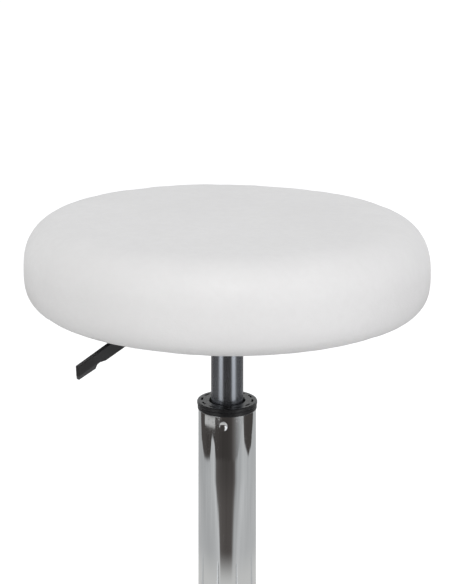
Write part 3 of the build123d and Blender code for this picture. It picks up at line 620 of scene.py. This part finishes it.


# ------------------------------------------------------------------- stage
# Painted reflections: what polished metal sees is painted by azimuth into the floor's glow for mirror rays
# (FAR also into the world's): a dark gap behind the camera, a lit panel on each side of it and pale paper underfoot.
# Azimuth 0 is -Y.
NEAR = [(-180, .48), (-150, .46), (-122, .44), (-95, .46), (-73, .50), (-60, .55), (-53, .61), (-48, .44), (-44, .12),
        (-37, .082), (-21, .066), (-5, .056), (11, .062), (21, .064), (27, .10), (30, .14), (33, .27), (38, .38),
        (44, .46), (53, .46), (62, .55), (74, .56), (87, .51), (104, .52), (127, .49), (156, .50), (180, .50)]
MID = [(-180, .48), (-150, .48), (-136, .46), (-129, .12), (-121, .070), (-107, .070), (-95, .066), (-83, .052),
       (-73, .062), (-55, .044), (-46, .062), (-37, .056), (-20, .045), (-5, .044), (11, .048), (19, .068), (27, .135),
       (35, .20), (44, .29), (53, .43), (65, .46), (70, .09), (76, .062), (92, .058), (122, .060), (130, .12),
       (135, .45), (142, .50), (180, .50)]
HIGH = [(-180, .20), (-150, .12), (-120, .055), (-95, .040), (-77, .045), (-67, .085), (-60, .35), (-54, .73),
        (-47, .90), (-37, .90), (-32, .60), (-27, .17), (-22, .04), (-12, .030), (10, .030), (22, .04), (27, .10),
        (32, .42), (38, .82), (44, .93), (52, .93), (58, .60), (65, .22), (72, .075), (83, .048), (105, .042),
        (125, .065), (150, .12), (180, .20)]
FAR = [(-180, .92), (-135, .86), (-95, .55), (-70, .50), (-58, .98), (-40, .98), (-30, .10), (-18, .05), (18, .05),
       (30, .10), (40, .98), (60, .98), (72, .50), (100, .55), (135, .86), (180, .92)]
# in the painted reflection, how far out the pale paper reaches before the dark gap starts, in metres
REACH = [(-180, 1.0), (-131, 1.0), (-128, .93), (-122, .86), (-107, .803), (-95, .787), (-83, .79), (-73, .79),
         (-68, .82), (-64, .875), (-60, .880), (-55, .87), (-50, .85), (-46, .80), (40, .80), (62, .93), (67, .94),
         (71, .855), (76, .838), (81, .82), (92, .80), (104, .82), (112, .845), (118, .888), (124, .93), (128, 1.0),
         (180, 1.0)]
# painted reflection: azimuths where a pale band shows inside the dark gap
PATCH = [(-180, 0.0), (-101, 0.0), (-97, 1.0), (-50, 1.0), (-47, 0.0), (180, 0.0)]


class Studio:
    """Shared nodes for the floor and the world."""

    def __init__(self, nt):
        self.nt = nt

    def math(self, op, a, b=0.0, c=0.0, clamp=False):
        n = self.nt.nodes.new("ShaderNodeMath")
        n.operation, n.use_clamp = op, clamp
        for i, v in enumerate((a, b, c)):
            if isinstance(v, bpy.types.NodeSocket):
                self.nt.links.new(v, n.inputs[i])
            else:
                n.inputs[i].default_value = v
        return n.outputs[0]

    def around(self, turn, stops, tinted=True):
        """Brightness by azimuth. Dark parts lean warm and bright parts lean cool."""
        ramp = self.nt.nodes.new("ShaderNodeValToRGB")
        self.nt.links.new(turn, ramp.inputs["Fac"])
        ramp.color_ramp.interpolation = "LINEAR"
        while len(ramp.color_ramp.elements) < len(stops):
            ramp.color_ramp.elements.new(0.5)
        for e, (deg, v) in zip(ramp.color_ramp.elements, stops):
            e.position = (deg + 180) / 360
            if not tinted:
                e.color = (v, v, v, 1)
                continue
            warm = max(0.0, 1 - v / 0.25)
            e.color = (v * (0.985 + 0.13 * warm), v * (1.0 - 0.02 * warm), v * (1.005 - 0.10 * warm), 1)
        return ramp.outputs["Color"]

    def step(self, x, low, high):
        n = self.nt.nodes.new("ShaderNodeMapRange")
        n.interpolation_type = "SMOOTHSTEP"
        self.nt.links.new(x, n.inputs["Value"])
        n.inputs["From Min"].default_value, n.inputs["From Max"].default_value = low, high
        return n.outputs["Result"]

    def mix(self, fac, a, b):
        n = self.nt.nodes.new("ShaderNodeMix")
        n.data_type = "RGBA"
        for sock, v in ((n.inputs[0], fac), (n.inputs[6], a), (n.inputs[7], b)):
            if isinstance(v, bpy.types.NodeSocket):
                self.nt.links.new(v, sock)
            else:
                sock.default_value = v if isinstance(v, float) else (*v, 1.0)
        return n.outputs[2]


def make_floor():
    bm = bmesh.new()
    bmesh.ops.create_circle(bm, cap_ends=True, segments=96, radius=40.0)
    mesh = bpy.data.meshes.new("floor")
    bm.to_mesh(mesh)
    bm.free()
    ob = bpy.data.objects.new("floor", mesh)
    scene.collection.objects.link(ob)
    mat = bpy.data.materials.new("pale_floor_painted_reflection")
    mat.use_nodes = True
    nt = mat.node_tree
    nt.nodes.clear()
    st = Studio(nt)
    out = nt.nodes.new("ShaderNodeOutputMaterial")
    diff = nt.nodes.new("ShaderNodeBsdfDiffuse")
    diff.inputs["Color"].default_value = (0.75, 0.75, 0.75, 1)
    # from here on, the floor's colour for mirror rays is a painted reflection that the floor itself emits
    geo = nt.nodes.new("ShaderNodeNewGeometry")
    sep = nt.nodes.new("ShaderNodeSeparateXYZ")
    nt.links.new(geo.outputs["Position"], sep.inputs[0])
    x, y = sep.outputs["X"], sep.outputs["Y"]
    turn = st.math("MULTIPLY_ADD", st.math("ARCTAN2", x, st.math("MULTIPLY", y, -1.0)), 1 / (2 * math.pi), 0.5)
    r = st.math("SQRT", st.math("ADD", st.math("MULTIPLY", x, x), st.math("MULTIPLY", y, y)))
    wob = nt.nodes.new("ShaderNodeTexNoise")
    nt.links.new(geo.outputs["Position"], wob.inputs["Vector"])
    wob.inputs["Scale"].default_value = 9.0
    edge = st.math("MULTIPLY_ADD", wob.outputs["Fac"], 0.03, st.math("ADD", r, -0.015))
    # painted reflection: the dark gap behind the camera narrows towards the stool
    shrink = st.math("MULTIPLY_ADD", st.math("MAXIMUM", st.math("SUBTRACT", 0.722, r), 0.0), 2.9, 1.0)
    narrow = st.math("MULTIPLY_ADD", st.math("SUBTRACT", turn, 0.5), shrink, 0.5)
    # painted reflection: a faint warm glow on the near paper, gone by 0.78 m
    close = st.mix(st.step(r, 0.62, 0.78), (0.024, 0.021, 0.020), (0.0, 0.0, 0.0))
    lit = nt.nodes.new("ShaderNodeVectorMath")
    lit.operation = "ADD"
    nt.links.new(st.around(narrow, NEAR), lit.inputs[0])
    nt.links.new(close, lit.inputs[1])
    past = st.math("SUBTRACT", edge, st.around(turn, REACH, False))
    gap = st.around(turn, MID)
    # painted reflection: a pale band between 0.92 and 0.96 m on one side
    patch = st.math("MULTIPLY", st.step(r, 0.914, 0.922), st.step(r, 0.964, 0.956))
    gap = st.mix(st.math("MULTIPLY", patch, st.around(turn, PATCH, False)), gap, (0.56, 0.56, 0.55))
    seen = st.mix(st.step(past, -0.011, 0.011), lit.outputs[0], gap)
    # painted reflection: bright panels from about 1 m out, at double strength
    high = nt.nodes.new("ShaderNodeVectorMath")
    high.operation = "SCALE"
    nt.links.new(st.around(turn, HIGH), high.inputs[0])
    high.inputs["Scale"].default_value = 2.0
    seen = st.mix(st.step(r, 0.988, 1.0), seen, high.outputs[0])
    seen = st.mix(st.step(r, 1.5, 2.1), seen, st.around(turn, FAR))
    # painted reflection: paper close to the stool is lit again under the dark gap, with a painted shadow darkening it
    # towards the middle
    under = st.mix(st.step(r, 0.03, 0.30), (0.27, 0.27, 0.272), (0.63, 0.63, 0.617))
    seen = st.mix(st.step(r, 0.42, 0.52), under, seen)
    # faint rays painted into the reflection, so that a long mirror shows fine lengthwise streaks
    fan = nt.nodes.new("ShaderNodeCombineXYZ")
    nt.links.new(st.math("MULTIPLY", turn, 95.0), fan.inputs[0])
    nt.links.new(st.math("MULTIPLY", r, 2.5), fan.inputs[1])
    rays = nt.nodes.new("ShaderNodeTexNoise")
    nt.links.new(fan.outputs[0], rays.inputs["Vector"])
    rays.inputs["Scale"].default_value = 1.0
    rays.inputs["Detail"].default_value = 2.0
    streaked = nt.nodes.new("ShaderNodeVectorMath")
    streaked.operation = "SCALE"
    nt.links.new(seen, streaked.inputs[0])
    sway = st.math("MULTIPLY", st.math("MULTIPLY_ADD", rays.outputs["Fac"], 0.44, -0.22), st.step(r, 0.50, 0.62))
    nt.links.new(st.math("ADD", sway, 1.0), streaked.inputs["Scale"])
    painted_reflection_glow = nt.nodes.new("ShaderNodeEmission")
    nt.links.new(streaked.outputs[0], painted_reflection_glow.inputs["Color"])
    # the camera sees plain paper, lifted so that it is white clear of shadows
    lift = nt.nodes.new("ShaderNodeEmission")
    lift.inputs["Color"].default_value = (1, 1, 1, 1)
    path = nt.nodes.new("ShaderNodeLightPath")
    nt.links.new(st.math("MULTIPLY", path.outputs["Is Camera Ray"], 0.45), lift.inputs["Strength"])
    add = nt.nodes.new("ShaderNodeAddShader")
    nt.links.new(diff.outputs[0], add.inputs[0])
    nt.links.new(lift.outputs[0], add.inputs[1])
    # mirror rays see the painted reflection; all other rays see the diffuse floor
    mix = nt.nodes.new("ShaderNodeMixShader")
    nt.links.new(path.outputs["Is Glossy Ray"], mix.inputs["Fac"])
    nt.links.new(add.outputs[0], mix.inputs[1])
    nt.links.new(painted_reflection_glow.outputs[0], mix.inputs[2])
    nt.links.new(mix.outputs[0], out.inputs["Surface"])
    ob.data.materials.append(mat)
    return ob


floor = make_floor()


def make_world():
    world = bpy.data.worlds.new("studio")
    scene.world = world
    world.use_nodes = True
    nt = world.node_tree
    nt.nodes.clear()
    st = Studio(nt)
    out = nt.nodes.new("ShaderNodeOutputWorld")
    bg = nt.nodes.new("ShaderNodeBackground")
    tc = nt.nodes.new("ShaderNodeTexCoord")
    sep = nt.nodes.new("ShaderNodeSeparateXYZ")
    nt.links.new(tc.outputs["Generated"], sep.inputs[0])
    turn = st.math("MULTIPLY_ADD", st.math("ARCTAN2", sep.outputs["X"], st.math("MULTIPLY", sep.outputs["Y"], -1.0)),
                   1 / (2 * math.pi), 0.5)
    seen = st.mix(st.step(sep.outputs["Z"], 0.55, 0.80), st.around(turn, FAR), (0.45, 0.452, 0.46))
    path = nt.nodes.new("ShaderNodeLightPath")
    # soft light for everything that isn't a mirror: brighter overhead, dimmer at the two sides
    soft = st.mix(st.step(sep.outputs["Z"], 0.0, 0.75), (0.60, 0.606, 0.62), (0.905, 0.91, 0.925))
    shade = st.math("MULTIPLY_ADD", st.math("MULTIPLY", sep.outputs["X"], sep.outputs["X"]), -0.32, 1.0)
    dim = nt.nodes.new("ShaderNodeVectorMath")
    dim.operation = "SCALE"
    nt.links.new(soft, dim.inputs[0])
    nt.links.new(shade, dim.inputs["Scale"])
    seen = st.mix(path.outputs["Is Glossy Ray"], dim.outputs[0], seen)
    nt.links.new(st.mix(path.outputs["Is Camera Ray"], seen, (0.95, 0.955, 0.965)), bg.inputs["Color"])
    nt.links.new(bg.outputs[0], out.inputs["Surface"])


make_world()


def softbox(name, place, target, size, power, color=(1, 1, 1), mirrored=True):
    data = bpy.data.lights.new(name, "AREA")
    data.shape = "RECTANGLE"
    data.size, data.size_y = size
    data.energy = power
    data.color = color
    ob = bpy.data.objects.new(name, data)
    ob.location = place
    ob.rotation_euler = (Vector(target) - Vector(place)).to_track_quat("-Z", "Y").to_euler()
    ob.visible_camera = False
    ob.visible_glossy = mirrored
    scene.collection.objects.link(ob)
    return ob


softbox("left_box", (-1.9, -2.0, 1.35), (0, 0, 0.45), (1.2, 1.2), 19.0, (1.0, 0.995, 0.985), False)
softbox("right_box", (2.15, -1.75, 1.35), (0, 0, 0.45), (1.2, 1.2), 23.0, (0.985, 0.98, 1.0), False)
softbox("front_box", (0.3, -2.6, 3.0), (0, 0, 0.45), (1.6, 0.8), 17.0, (1.0, 0.995, 0.99))

scene.view_settings.view_transform = "Standard"
scene.view_settings.look = "None"
scene.view_settings.exposure = 0.0
scene.view_settings.gamma = 1.0

# ------------------------------------------------------------------ camera
# A level camera 1.3 m away and 0.78 m up, with the frame slid down to the seat.
FOCAL_PX, LONG_SIDE = 1500.2, 584
cam_data = bpy.data.cameras.new("camera")
cam_data.lens = FOCAL_PX * 36.0 / LONG_SIDE
cam_data.sensor_width = 36.0
cam_data.clip_start, cam_data.clip_end = 0.01, 200.0
cam = bpy.data.objects.new("camera", cam_data)
cam.location = (0.0, -1.3, 0.7786)
cam.rotation_euler = (math.pi / 2, 0, 0)
scene.collection.objects.link(cam)
scene.camera = cam
# The slide belongs to this one viewpoint, so it is driven by the camera's place.
for prop, value in (("shift_x", -1.2 / LONG_SIDE), ("shift_y", -402.0 / LONG_SIDE)):
    drv = cam_data.driver_add(prop).driver
    drv.type = "SCRIPTED"
    var = drv.variables.new()
    var.name = "y"
    var.type = "TRANSFORMS"
    var.targets[0].id = cam
    var.targets[0].transform_type = "LOC_Y"
    var.targets[0].transform_space = "WORLD_SPACE"
    drv.expression = f"{value:.6f} if abs(y + 1.3) < 0.001 else 0.0"
